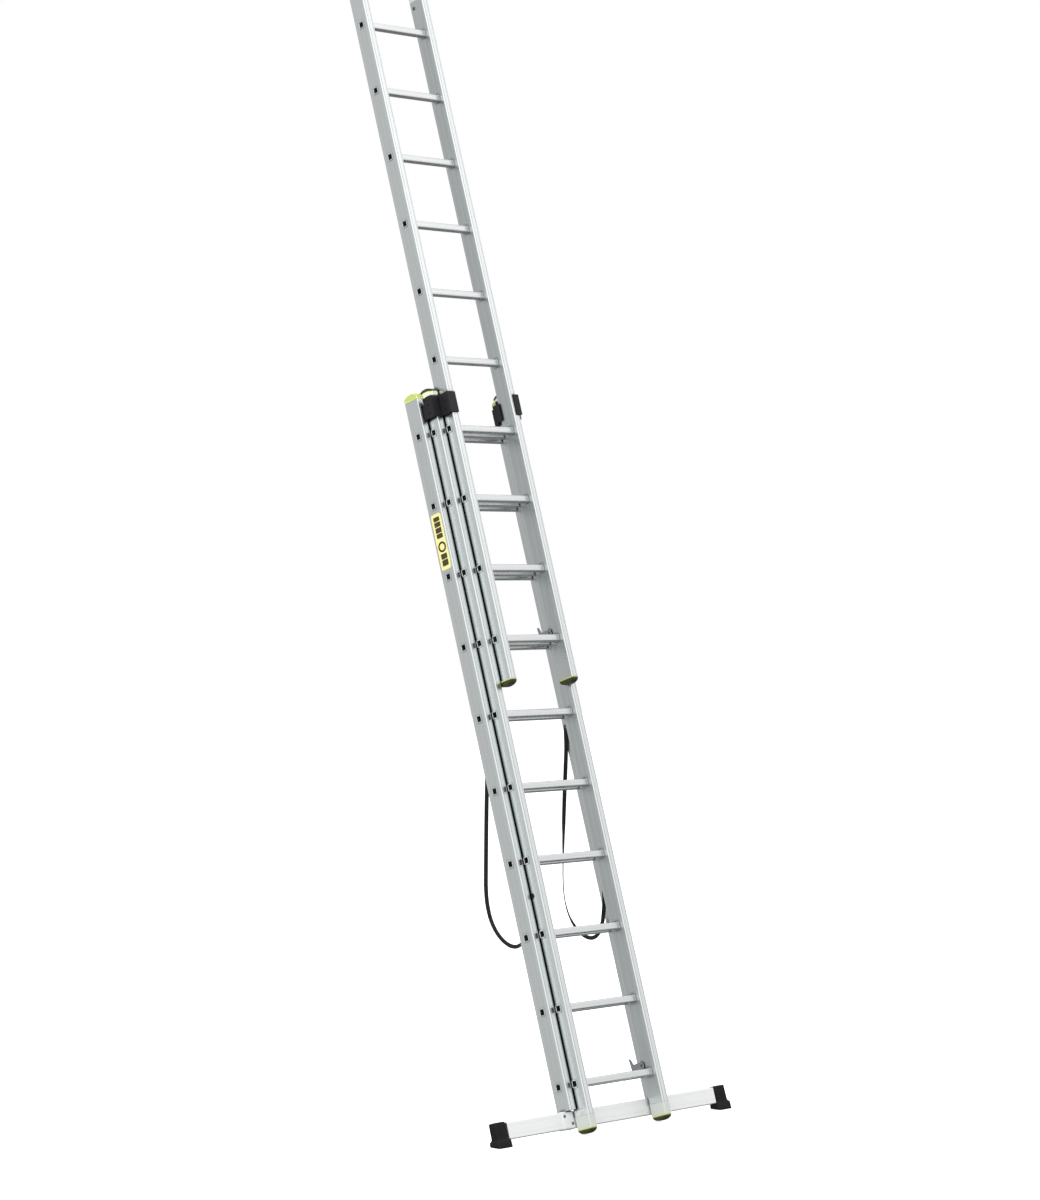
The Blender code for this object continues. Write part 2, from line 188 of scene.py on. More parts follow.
def surface(name, light, dark, rough, metal=0.0, grain=(1, 1, 1), fine=900.0, bump=0.15, wear=None,
            patch=9.0, shine=0.5, shade_reach=0.0):
    """A procedural finish: fine grain, broad patches of tone and gloss, and worn edges.

    light and dark are its two tones, rough its two roughnesses, metal how metallic it is, grain
    and fine the stretch and scale of the fine noise, bump its strength, and patch the scale of
    the broad noise. wear (colour, amount) is what its edges rub to, shine its specular level, and
    the last how far painted shade, darkened into the colour, spreads out of narrow gaps by other parts.
    """
    made = bpy.data.materials.new(name)
    made.use_nodes = True
    tree = made.node_tree
    shader = tree.nodes["Principled BSDF"]
    shader.inputs["Metallic"].default_value = metal
    shader.inputs["Specular IOR Level"].default_value = shine
    place = node(tree, "ShaderNodeTexCoord").outputs["Object"]
    streaks = noise(tree, place, grain, fine, 4.0, 0.6)
    broad = noise(tree, place, (1, 1, 1), patch, 3.0)
    tone = mixed(tree, spread(tree, streaks, 0.3, 0.7, 0.0, 1.0), (*dark, 1), (*light, 1))
    tone = mixed(tree, spread(tree, broad, 0.35, 0.75, 0.0, 0.35), tone, (*dark, 1))
    gloss = spread(tree, broad, 0.3, 0.7, rough[0], rough[1])
    if wear:
        rubbed, amount = wear
        point = node(tree, "ShaderNodeNewGeometry").outputs["Pointiness"]
        edge = spread(tree, point, EDGE_LOW, EDGE_HIGH, 0.0, amount)
        tone = mixed(tree, edge, tone, (*rubbed, 1))
    # Painted shade: ambient occlusion darkens the colour near other parts, standing in for their shade.
    if shade_reach:
        nearby = node(tree, "ShaderNodeAmbientOcclusion", {"Distance": shade_reach}, samples=8)
        shade_mask = spread(tree, nearby.outputs["AO"], PAINTED_SHADE_FULL, PAINTED_SHADE_NONE, 1.0, 0.0)
        tone = mixed(tree, shade_mask, tone, PAINTED_SHADE)
    tree.links.new(tone, shader.inputs["Base Color"])
    tree.links.new(gloss, shader.inputs["Roughness"])
    tree.links.new(bumps(tree, [(streaks, bump, 0.0003), (broad, 0.05, 0.002)]), shader.inputs["Normal"])
    return made


def webbing_material():
    """Woven polyester band: cross ribs and lengthwise cords, from the band's own UVs in metres."""
    made = bpy.data.materials.new("black_webbing")
    made.use_nodes = True
    tree = made.node_tree
    shader = tree.nodes["Principled BSDF"]
    shader.inputs["Roughness"].default_value = 0.86
    shader.inputs["Sheen Weight"].default_value = 0.10
    shader.inputs["Sheen Roughness"].default_value = 0.5
    uv = node(tree, "ShaderNodeUVMap", uv_map="band").outputs["UV"]
    ribs = node(tree, "ShaderNodeTexWave", {"Scale": 190.0, "Distortion": 0.4}, bands_direction="X")
    cords = node(tree, "ShaderNodeTexWave", {"Scale": 260.0, "Distortion": 0.2}, bands_direction="Y")
    for wave in (ribs, cords):
        tree.links.new(uv, wave.inputs["Vector"])
    place = node(tree, "ShaderNodeTexCoord").outputs["Object"]
    dust = noise(tree, place, (1, 1, 1), 60.0)
    weave = mixed(tree, 0.5, ribs.outputs["Color"], cords.outputs["Color"], "MULTIPLY")
    tone = mixed(tree, weave, (0.003, 0.003, 0.004, 1), (0.012, 0.012, 0.013, 1))
    tone = mixed(tree, spread(tree, dust, 0.5, 0.8, 0.0, 0.25), tone, (0.03, 0.029, 0.027, 1))
    tree.links.new(tone, shader.inputs["Base Color"])
    heights = [(ribs.outputs["Fac"], 0.5, 0.0004), (cords.outputs["Fac"], 0.35, 0.0003)]
    tree.links.new(bumps(tree, heights), shader.inputs["Normal"])
    return made


# each is two tones, which the caps' bands mix: the lime plastic, dark olive that is painted shade on
# domes facing down, and grey
CAP_LIME = ((0.50, 0.58, 0.14, 1), (0.60, 0.68, 0.20, 1))
CAP_SHADED_OLIVE = ((0.018, 0.022, 0.003, 1), (0.032, 0.038, 0.007, 1))
CAP_GREY = ((0.50, 0.52, 0.51, 1), (0.58, 0.60, 0.58, 1))


def banded_material(name, light, dark, bands):
    """Moulded cap in several tones up the ladder.

    bands are (low, high, the two tones below them): the change runs from high down to low.
    """
    made = surface(name, light, dark, (0.38, 0.50), fine=700.0)
    tree = made.node_tree
    shader = tree.nodes["Principled BSDF"]
    tone = shader.inputs["Base Color"].links[0].from_socket
    place = node(tree, "ShaderNodeTexCoord").outputs["Object"]
    upright = node(tree, "ShaderNodeMapping", {"Rotation": LADDER.to_euler(), "Location": ZERO},
                   vector_type="TEXTURE")
    tree.links.new(place, upright.inputs["Vector"])
    split = node(tree, "ShaderNodeSeparateXYZ")
    tree.links.new(upright.outputs["Vector"], split.inputs["Vector"])
    speck = noise(tree, place, (1, 1, 1), 500.0)
    for low, high, tones in bands:
        below = spread(tree, split.outputs["Z"], low, high, 1.0, 0.0)
        tone = mixed(tree, below, tone, mixed(tree, speck, *tones))
    tree.links.new(tone, shader.inputs["Base Color"])
    return made


# How noise is stretched into streaks along an extrusion. "web" is the stile's inner face: rougher,
# and darker in colour as painted shade. "bore" is the inside of a rung, darker in colour as painted
# shade.
ALONG_Z, ALONG_X = (1.0, 1.0, 0.006), (0.006, 1.0, 1.0)
MATERIALS = {
    "stile": surface("stile_aluminium", (0.77, 0.83, 0.82), (0.69, 0.75, 0.74), (0.22, 0.32), 1.0,
                     ALONG_Z, 1500.0, 0.10, ((0.92, 0.93, 0.94), 0.5), shade_reach=0.014),
    # The stile's metal made darker for its inner webs: painted shade.
    "web": surface("inner_web_shaded_aluminium", (0.58, 0.63, 0.625), (0.50, 0.55, 0.545), (0.28, 0.38), 1.0,
                   ALONG_Z, 1500.0, 0.10, ((0.80, 0.81, 0.82), 0.5), shade_reach=0.014),
    "rung": surface("rung_aluminium", (0.84, 0.855, 0.865), (0.76, 0.78, 0.79), (0.22, 0.32), 1.0,
                    ALONG_X, 1500.0, 0.12, ((0.94, 0.95, 0.95), 0.6)),
    # The rung's metal made dark for the inside of its bore: painted shade in the hollow.
    "bore": surface("bore_shaded_aluminium", (0.34, 0.36, 0.37), (0.22, 0.23, 0.24), (0.5, 0.7), 1.0,
                    ALONG_X, 900.0, 0.2),
    "bar": surface("bar_aluminium", (0.95, 0.955, 0.96), (0.88, 0.885, 0.89), (0.34, 0.46), 0.65,
                   ALONG_X, 1300.0, 0.10, ((0.96, 0.96, 0.97), 0.4)),
    "lime": surface("lime_plastic", (0.53, 0.59, 0.16), (0.46, 0.52, 0.12), (0.34, 0.46),
                    fine=650.0, bump=0.12, wear=((0.86, 0.92, 0.42), 0.4)),
    # The middle's upper caps: the lime plastic in a pale tone, as it looks brightly lit: a painted
    # highlight.
    "lit_lime": surface("lit_lime_plastic", (0.80, 0.82, 0.66), (0.70, 0.74, 0.48), (0.36, 0.48),
                     fine=650.0, bump=0.12, wear=((0.86, 0.88, 0.70), 0.4)),
    # The dark arch's plastic, a stand-in for shade: painted shade.
    "shade_arch": surface("shade_arch_plastic", (0.070, 0.070, 0.028), (0.040, 0.042, 0.016), (0.4, 0.55),
                     fine=650.0, shine=0.3),
    "black": surface("black_plastic", (0.011, 0.011, 0.014), (0.006, 0.006, 0.007), (0.40, 0.52),
                     fine=1100.0, bump=0.25, wear=((0.04, 0.04, 0.045), 0.6), shine=0.22),
    "rubber": surface("black_rubber", (0.012, 0.012, 0.013), (0.006, 0.006, 0.007), (0.62, 0.80),
                      fine=800.0, bump=0.35, wear=((0.04, 0.039, 0.037), 0.7), shine=0.16),
    "zinc": surface("zinc_steel", (0.42, 0.43, 0.45), (0.28, 0.29, 0.31), (0.32, 0.48), 1.0,
                    fine=120.0, bump=0.08, wear=((0.70, 0.71, 0.72), 0.5), patch=40.0),
    "bolt": surface("bolt_steel", (0.22, 0.22, 0.24), (0.12, 0.12, 0.13), (0.34, 0.46), 1.0,
                    fine=300.0, bump=0.10, wear=((0.45, 0.45, 0.47), 0.6), patch=60.0),
    "yellow": surface("label_yellow", (0.84, 0.79, 0.36), (0.79, 0.73, 0.29), (0.26, 0.34),
                      fine=200.0, bump=0.03),
    "ink": surface("label_black", (0.060, 0.050, 0.008), (0.040, 0.033, 0.006), (0.3, 0.4),
                   fine=200.0, bump=0.03),
    "webbing": webbing_material(),
}


# ---- outlines and solids -------------------------------------------------
def rounded_box(wide, deep, radius, steps=4):
    """Outline of a rectangle with round corners, about zero."""
    return grooved_box(wide, deep, radius, steps=steps)


def grooved_box(wide, deep, radius, flange=(), web=(), half=0.0009, into=0.0005, steps=4):
    """Outline of an extruded tube: round corners, with fine grooves along its faces.

    flange holds the grooves' places across the two faces at plus and minus deep / 2, and web
    those on the other two. half is half a groove's width, and into its depth.
    """
    points = []
    for corner, (su, sv) in enumerate(((1, 1), (-1, 1), (-1, -1), (1, -1))):
        cu, cv = su * (wide / 2 - radius), sv * (deep / 2 - radius)
        for i in range(steps + 1):
            a = pi / 2 * (corner + i / steps)
            points.append((cu + radius * cos(a), cv + radius * sin(a)))
        along = Vector(((-1, 0), (0, -1), (1, 0), (0, 1))[corner])
        out = Vector(((0, 1), (-1, 0), (0, -1), (1, 0))[corner])
        face = deep / 2 if corner % 2 == 0 else wide / 2
        for at in sorted(flange if corner % 2 == 0 else web):
            for shift, sink in ((-half, 0), (-half / 2, into), (half / 2, into), (half, 0)):
                points.append(tuple(along * (at + shift) + out * (face - sink)))
    return points


def loft(rings, ring_loop=False, inner=None):
    """A closed solid through rings of points. inner(i) says that stretch i has material slot 1."""
    bm = bmesh.new()
    loops = [[bm.verts.new(point) for point in ring] for ring in rings]
    count = len(loops)
    for i in range(count if ring_loop else count - 1):
        a, b = loops[i], loops[(i + 1) % count]
        for j in range(len(a)):
            k = (j + 1) % len(a)
            face = bm.faces.new((a[j], a[k], b[k], b[j]))
            face.material_index = 1 if inner and inner(i) else 0
    if not ring_loop:
        bm.faces.new(loops[0])
        bm.faces.new(loops[-1])
    return bm


def prism(outline, start, stop, axis="x"):
    """An outline extruded along one axis: its points are the other two axes, in order."""
    def at(u, v, t):
        return (t, u, v) if axis == "x" else (u, t, v) if axis == "y" else (u, v, t)
    return loft([[at(u, v, t) for u, v in outline] for t in (start, stop)])


def turned(profile, centre, axis="x", sides=24):
    """A closed solid of revolution. profile rows are (place along the axis, radius)."""
    rings = []
    for t, radius in profile:
        ring = []
        for i in range(sides):
            u = radius * cos(2 * pi * i / sides)
            v = radius * sin(2 * pi * i / sides)
            ring.append(Vector((t, u, v) if axis == "x" else (u, t, v)) + centre)
        rings.append(ring)
    return loft(rings)


def merge(*parts):
    """Several bmeshes as one."""
    whole = bmesh.new()
    for bm in parts:
        mesh = bpy.data.meshes.new("merge")
        bm.to_mesh(mesh)
        bm.free()
        whole.from_mesh(mesh)
        bpy.data.meshes.remove(mesh)
    return whole


def soften(bm, offset, segments=2, angle=radians(28), only=None):
    """Bevels the edges sharper than angle, or just those that only(edge) picks."""
    bmesh.ops.recalc_face_normals(bm, faces=bm.faces[:])
    edges = [edge for edge in bm.edges if edge.calc_face_angle(0) > angle and (not only or only(edge))]
    bmesh.ops.bevel(bm, geom=edges, offset=offset, segments=segments, profile=0.5, affect="EDGES",
                    clamp_overlap=True)
    return bm


def mesh_of(bm, name):
    bmesh.ops.recalc_face_normals(bm, faces=bm.faces[:])
    mesh = bpy.data.meshes.new(name)
    bm.to_mesh(mesh)
    bm.free()
    return mesh


def carved(bm, tools):
    """The solid with the tools' solids cut out of it."""
    objects = []
    for name, solid in (("body", bm), ("tool", merge(*tools))):
        obj = bpy.data.objects.new(name, mesh_of(solid, name))
        bpy.context.scene.collection.objects.link(obj)
        objects.append(obj)
    cut = objects[0].modifiers.new("cut", "BOOLEAN")
    cut.operation, cut.solver, cut.object = "DIFFERENCE", "EXACT", objects[1]
    shape = objects[0].evaluated_get(bpy.context.evaluated_depsgraph_get())
    result = bmesh.new()
    result.from_mesh(shape.data)
    for obj in objects:
        bpy.data.objects.remove(obj)
    return result


SHARP = radians(32)


def piece(name, shape, finishes, body, replaces=(), place=(0, 0, 0)):
    """A finished piece from a bmesh in the ladder's frame, or from a mesh whose copy it takes.

    finishes are its materials in order, body what it rides on, and replaces the CAD nodes that
    it stands for.
    """
    mesh = shape.copy() if isinstance(shape, bpy.types.Mesh) else mesh_of(shape, name)
    mesh.transform(LADDER @ Matrix.Translation(place))
    for finish in finishes:
        mesh.materials.append(MATERIALS[finish])
    mesh.polygons.foreach_set("use_smooth", [True] * len(mesh.polygons))
    mesh.set_sharp_from_angle(angle=SHARP)
    obj = bpy.data.objects.new(name, mesh)
    bpy.context.scene.collection.objects.link(obj)
    smooth = obj.modifiers.new("normals", "WEIGHTED_NORMAL")
    smooth.keep_sharp = True
    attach(obj, body)
    if replaces:
        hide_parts(*replaces)


# ---- spreader straps -----------------------------------------------------
# The right strap's route in the ladder's frame (x, depth, height): from its bolt on the base's
# stile, hanging straight down behind the ladder, and back in to the middle's stile.
STRAP_ROUTE = [
    (0.2085, 0.066, 1.365), (0.2085, 0.071, 1.340), (0.2080, 0.086, 1.280), (0.2070, 0.112, 1.205),
    (0.2060, 0.143, 1.120), (0.2050, 0.175, 1.030), (0.2045, 0.204, 0.945), (0.2040, 0.231, 0.865),
    (0.2040, 0.253, 0.795), (0.2035, 0.2655, 0.730), (0.2030, 0.2625, 0.665), (0.2025, 0.240, 0.608),
    (0.2020, 0.203, 0.566), (0.2010, 0.162, 0.548), (0.2000, 0.124, 0.556), (0.1990, 0.092, 0.588),
    (0.1980, 0.068, 0.632), (0.1972, 0.051, 0.676), (0.1968, 0.0425, 0.712),
]
# How far the band is turned about its own line at each of those points, in degrees: flat
# against the stile is 0 at the bolt, and 90 where it lies on the back of the middle's stile.
TWIST = {
    "r": (0, -15, -30, -44, -42, -25, 10, 33, 35, 35, 28, 12, 0, 0, 5, 20, 45, 70, 90),
    "l": (0, -10, -25, -40, -46, -46, -46, -46, -44, -38, -28, -18, -12, -10, -12, -22, -45, -70, -90),
}
STRAP_SPLIT = 9                # the point of the route where its upper and lower pieces meet
STRAP_STEPS = 6                # points of the curve for each stretch of the route
STRAP_WIDE = 0.016
STRAP_THICK = 0.0018


def smooth_route(points, steps):
    """A smooth curve through given points, read off at even parameters."""
    pts = [Vector(p) for p in points]
    out = []
    for i in range(len(pts) - 1):
        before, after = pts[max(i - 1, 0)], pts[min(i + 2, len(pts) - 1)]
        a, b = pts[i], pts[i + 1]
        reach = (b - a).length / 3
        h1 = a + (b - before).normalized() * reach
        h2 = b - (after - a).normalized() * reach
        out += interpolate_bezier(a, h1, h2, b, steps + 1)[:-1]
    return out + [pts[-1]]


def band(points, twists, along):
    """A flat band along points, its UVs in metres. along is each point's distance from the start."""
    outline = rounded_box(STRAP_WIDE, STRAP_THICK, STRAP_THICK * 0.45, 2)
    rings = []
    for i, point in enumerate(points):
        tangent = (points[min(i + 1, len(points) - 1)] - points[max(i - 1, 0)]).normalized()
        side = Vector((1, 0, 0))
        side = (side - side.dot(tangent) * tangent).normalized()
        front = tangent.cross(side)
        face = side * cos(twists[i]) + front * sin(twists[i])
        across = tangent.cross(face)
        rings.append([point + across * u + face * v for u, v in outline])
    bm = loft(rings)
    layer = bm.loops.layers.uv.new("band")
    count = len(outline)
    bm.verts.index_update()
    for face in bm.faces:
        for corner in face.loops:
            ring, at = divmod(corner.vert.index, count)
            corner[layer].uv = (along[ring], outline[at][0])
    return bm


def strap(side, sign):
    """One spreader strap, as two pieces that share the ring where they meet."""
    route = [Vector((sign * x, y, z)) for x, y, z in STRAP_ROUTE]
    points = smooth_route(route, STRAP_STEPS)
    twists = []
    for a, b in zip(TWIST[side], TWIST[side][1:]):
        for i in range(STRAP_STEPS):
            t = i / STRAP_STEPS
            twists.append(radians(a + (b - a) * t * t * (3 - 2 * t)))
    twists.append(radians(TWIST[side][-1]))
    along = [0.0]
    for a, b in zip(points, points[1:]):
        along.append(along[-1] + (b - a).length)
    split = STRAP_SPLIT * STRAP_STEPS
    spans = (("upper", 0, split + 1, "base", "hinge_guides"),
             ("lower", split, len(points), "hinge_guides", "mid"))
    for part, start, stop, first, second in spans:
        mesh = mesh_of(band(points[start:stop], twists[start:stop], along[start:stop]), "strap")
        mesh.transform(LADDER)
        mesh.materials.append(MATERIALS["webbing"])
        mesh.polygons.foreach_set("use_smooth", [True] * len(mesh.polygons))
        mesh.set_sharp_from_angle(angle=radians(50))
        obj = bpy.data.objects.new(f"strap_{part}_{side}", mesh)
        bpy.context.scene.collection.objects.link(obj)
        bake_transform(obj)
        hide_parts(f"spreader_strap_{side}")


# ---- stiles and rungs ----------------------------------------------------
STILE_GROOVES = (-0.0085, 0.0085)
GROOVE_SINK = 0.0007
TREAD_GROOVES = (-0.0069, -0.0023, 0.0023, 0.0069)
RUNG_FACE_GROOVES = (-0.0045, 0.0045)
HOLE_GROW = 0.0002             # how much larger a stile's holes are than the rungs
MOUTH_IN = 0.0032              # how far the lip's rim narrows the open end
BEAD = 0.0014                  # the swaged bead against each stile's inner web
BEAD_OUT = 0.0015              # how far that bead stands out


def stile_solid(low, high):
    """Hollow extruded stile, open at both ends, about its own axis."""
    outer = grooved_box(STILE_WIDE, STILE_DEEP, STILE_CORNER, STILE_GROOVES, (), 0.0011, GROOVE_SINK)
    inner = grooved_box(STILE_WIDE - 2 * STILE_WALL, STILE_DEEP - 2 * STILE_WALL,
                        STILE_CORNER - STILE_WALL, STILE_GROOVES, (), 0.0011, 0.0)
    rings = [[(u, v, z) for u, v in outline] for outline, z in
             ((outer, low), (outer, high), (inner, high), (inner, low))]
    return loft(rings, ring_loop=True)


def rung_outline(grow, groove=0.0):
    """The rung's outline, grown by grow all round, with grooves in its treads and faces."""
    size = RUNG_SIZE + 2 * grow
    return grooved_box(size, size, RUNG_CORNER + grow, TREAD_GROOVES, RUNG_FACE_GROOVES, into=groove)


def rung_solid(half, far):
    """Ribbed rung tube, swaged to a lip outside each stile and a bead inside it.

    half is where its stiles' outer webs are, and far where its lips end. One side's rings run
    from inside the bore, round the lip, and in through the stile to the grooved tube.
    """
    lip = far - half
    inner = half - STILE_WIDE
    tube, plain, bore = rung_outline(0, 0.0005), rung_outline(0), rung_outline(-RUNG_WALL)
    mouth, wide, bead = rung_outline(-MOUTH_IN), rung_outline(lip * 0.95), rung_outline(BEAD_OUT)
    side = [(bore, far - 0.0050), (mouth, far - 0.0034), (mouth, far - 0.0012),
            (rung_outline(-MOUTH_IN * 0.8), far - 0.0002), (rung_outline(lip * 0.4), far),
            (wide, far - 0.0005), (wide, half + 2 * TOUCH), (rung_outline(lip * 0.5), half + TOUCH),
            (plain, half + TOUCH), (plain, inner - 0.0002), (bead, inner - 0.0002),
            (bead, inner - BEAD * 0.7), (rung_outline(0.0008), inner - BEAD), (plain, inner - BEAD),
            (tube, inner - 0.0030)]
    rings = [(outline, -x) for outline, x in side] + [(outline, x) for outline, x in reversed(side)]
    solid = [[(x, u, v) for u, v in outline] for outline, x in rings]
    return loft(solid, ring_loop=True, inner=lambda i: i in (0, len(rings) - 2, len(rings) - 1))


def section(prefix, pins):
    """One section's two stiles and its ten rungs. pins are (y, z, radius) holes in the inner webs.

    Each stile's inner web has its second material.
    """
    half, depth = half_of(prefix), depth_of(prefix)
    first = local_box(f"{prefix}_rung_01")
    raise_by = (first[0].z + first[1].z) / 2
    hole = rounded_box(RUNG_SIZE + HOLE_GROW, RUNG_SIZE + HOLE_GROW, RUNG_CORNER)
    for side, sign in SIDES:
        low, high = local_box(f"{prefix}_stile_{side}")
        reach = STILE_WIDE / 2 + 0.01
        tools = [prism([(u, v + raise_by + k * PITCH) for u, v in hole], -reach, reach)
                 for k in range(RUNGS)]
        for y, z, radius in pins:
            ends = sorted((-sign * (STILE_WIDE / 2 + 0.004), -sign * 0.004))
            tools.append(turned([(ends[0], radius), (ends[1], radius)], Vector((0, y - depth, z))))
        tube = carved(stile_solid(low.z, high.z), tools)
        # The inner web's faces take the darker metal, which is painted shade.
        for face in tube.faces:
            if face.calc_center_median().x * sign < CLEAR - STILE_WIDE / 2:
                face.material_index = 1
        piece(f"{prefix}_stile_tube_{side}", tube, ["stile", "web"], prefix,
              [f"{prefix}_stile_{side}"], (sign * (half - STILE_WIDE / 2), depth, 0))
    tube = mesh_of(rung_solid(half, first[1].x), "rung")
    for k in range(RUNGS):
        piece(f"{prefix}_rung_tube_{k + 1:02d}", tube, ["rung", "bore"], prefix,
              [f"{prefix}_rung_{k + 1:02d}"], (0, depth, raise_by + k * PITCH))


# ---- end caps and feet ---------------------------------------------------
CAP_DOME = 0.018
CAP_ROUND = 0.0045
CAP_SKIRT = 0.004              # how far the upper caps' collars reach over their stiles
RIB_DEEP = 0.0009
# A dark arch over each of the middle's upper caps, standing for the shade on the dome: painted shade.
SHADE_ARCH_OUT, SHADE_ARCH_IN = 0.0034, 0.0085   # the arch at its top, outwards and inwards from the dome
SHADE_ARCH_WIDER, SHADE_ARCH_NARROWER = 0.0026, 0.0060   # and the same at its two ends
SHADE_ARCH_START = radians(14)      # where it starts, from the line of the dome


def cap_solid(half, side, collar, dome, ribs=0):
    """Domed end cap with rounded sides and a moulded line where its dome starts.

    half and side are half its size in depth and across, collar the height that its dome starts
    at, dome the dome's height, and ribs how many shallow grooves cross the dome.
    """
    steps = 36 if ribs else 20
    arc = []
    for i in range(steps + 1):
        a = pi * i / steps
        sink = RIB_DEEP * (0.5 - 0.5 * cos(2 * pi * ribs * i / steps)) if ribs else 0
        arc.append(((half - sink) * cos(a), collar + (dome - sink) * sin(a)))
    line = [(half, 0.0), (half, collar - 0.0014), (half - 0.0007, collar - 0.0008)]
    outline = line + arc + [(-y, z) for y, z in reversed(line)]
    rings = []
    for sign in (-1, 1):
        turns = range(5) if sign < 0 else reversed(range(5))
        for i in turns:
            a = pi / 2 * i / 4
            inset = CAP_ROUND * (1 - sin(a))
            x = sign * (side - CAP_ROUND + CAP_ROUND * cos(a))
            k, m = (half - inset) / half, (dome - inset) / dome
            rings.append([(x, y * k, collar + (z - collar) * m if z > collar else z) for y, z in outline])
    return loft(rings)


def cap(node_name, section_name, finish, down=False, ribs=0, skirt=0.0):
    """One end cap. skirt is how much further its thin collar reaches over the stile."""
    low, high = local_box(node_name)
    middle, size = (low + high) / 2, high - low
    bm = cap_solid(size.y / 2, size.x / 2, size.z - CAP_DOME + skirt, CAP_DOME, ribs)
    if down:
        bmesh.ops.scale(bm, vec=(1, 1, -1), verts=bm.verts[:])
    foot = high.z + skirt if down else low.z - skirt
    bmesh.ops.translate(bm, vec=(middle.x, middle.y, foot), verts=bm.verts[:])
    piece(node_name + "_moulding", bm, [finish], section_name, [node_name])


def shade_arch(node_name, section_name):
    """Thin dark arch over a cap's dome, standing for the shade on its top: painted shade."""
    low, high = local_box(node_name)
    middle, size = (low + high) / 2, high - low
    half, side, collar = size.y / 2, size.x / 2, size.z - CAP_DOME
    steps = 24
    turns = [SHADE_ARCH_START + (pi - 2 * SHADE_ARCH_START) * i / steps for i in range(steps + 1)]

    def arch(a, wider, taller):
        return (half + wider) * cos(a), collar + (CAP_DOME + taller) * sin(a)

    outer = [arch(a, SHADE_ARCH_WIDER, SHADE_ARCH_OUT) for a in turns]
    inner = [arch(a, -SHADE_ARCH_NARROWER, -SHADE_ARCH_IN) for a in reversed(turns)]
    bm = soften(prism(outer + inner, -side - 2 * TOUCH, side + 2 * TOUCH), 0.0006, 2)
    bmesh.ops.translate(bm, vec=(middle.x, middle.y, low.z), verts=bm.verts[:])
    piece(node_name + "_crown", bm, ["shade_arch"], section_name)


# ---- bolts, screws and washers -------------------------------------------
WASHER = 0.0012                # a washer's thickness
WASHER_WIDE = 1.45             # its radius, as a share of the head's
BOLT_DROP = 0.009              # how far below a strap's end its bolt is
WEB_BOLT_BACK, WEB_BOLT_DROP = 0.008, 0.006   # its nut's cap on the middle's outer web
SPACER, SPACER_EDGE = 0.0068, 0.0006   # a bush's radius, and its chamfer
RIVET_BACK, RIVET_DOWN = 0.0175, 0.027   # the cap rivet, from the stile's middle and its top


def button_head(radius, tall, out, centre, axis="x"):
    """Domed screw head on a washer. out is the sign of the way it faces along the axis."""
    rise = [(0.0, radius * WASHER_WIDE), (WASHER * 0.75, radius * WASHER_WIDE),
            (WASHER, radius * 1.38), (WASHER, radius)]
    for i in range(1, 6):
        a = pi / 2 * i / 6
        rise.append((WASHER + tall * sin(a), radius * cos(a) * 0.98))
    rise += [(WASHER + tall, radius * 0.42), (WASHER + tall * 0.55, radius * 0.36)]
    return turned([(out * t, r) for t, r in rise], centre, axis)


def spacer(start, stop, centre, axis="x"):
    """Plastic bush with chamfered rims, from start to stop along the axis."""
    way = 1 if stop > start else -1
    return turned([(start + way * CLEAR, SPACER - SPACER_EDGE), (start + way * SPACER_EDGE, SPACER),
                   (stop - way * SPACER_EDGE, SPACER), (stop - way * CLEAR, SPACER - SPACER_EDGE)],
                  centre, axis)


def cap_rivet(side, sign):
    """Rivet on the inner web that holds the top section's upper cap."""
    place = Vector((sign * (half_of("fly") - STILE_WIDE - CLEAR), depth_of("fly") + RIVET_BACK,
                    STILE["fly"][1].z - RIVET_DOWN))
    head = button_head(0.0048, 0.0016, -sign, place)
    piece(f"fly_top_rivet_{side}", head, ["bolt"], "fly")


def strap_bolts(side, sign):
    """A strap's bolts: on the base's inner web, and on the back and outside of the middle's stile."""
    start, stop = Vector(STRAP_ROUTE[0]), Vector(STRAP_ROUTE[-1])
    place = Vector((sign * start.x, start.y, start.z - BOLT_DROP))
    face = STRAP_THICK / 2
    web = half_of("base") - STILE_WIDE - start.x
    bush = spacer(sign * face, sign * web, place)
    piece(f"strap_spacer_upper_{side}", bush, ["black"], "base")
    head = button_head(0.0046, 0.0026, -sign, place - Vector((sign * face, 0, 0)))
    piece(f"strap_bolt_upper_{side}", head, ["bolt"], "base")
    place = Vector((sign * stop.x, stop.y, stop.z - BOLT_DROP))
    bush = spacer(-face, STILE["mid"][1].y - stop.y, place, "y")
    piece(f"strap_spacer_lower_{side}", bush, ["black"], "mid")
    head = button_head(0.0046, 0.0026, 1, place + Vector((0, face, 0)), "y")
    piece(f"strap_bolt_lower_{side}", head, ["bolt"], "mid")
    place = Vector((sign * half_of("mid"), WEB_BOLT_BACK, stop.z - WEB_BOLT_DROP))
    head = button_head(0.0068, 0.0002, sign, place)
    piece(f"strap_bolt_web_{side}", head, ["black"], "mid")


# ---- stile guides --------------------------------------------------------
FIT = 0.0005                   # the sliding gap between a guide and a stile
GUIDE_WALL = 0.004             # the front lip's thickness
GUIDE_BACK = 0.013             # how far a guide reaches behind the stile
HOOK_REACH, HOOK_FROM = 0.009, 0.028   # the inner hook: how far in it reaches, and where it starts
HOOK_SHORTER = 0.016           # how much lower that hook ends than the block
SWING_FROM = 0.043             # where the hinge guide's relief starts, from its lower end
BLOCK_SCREWS = (("low", 0.018), ("high", -0.030))   # from the guide's lower end, and from its upper


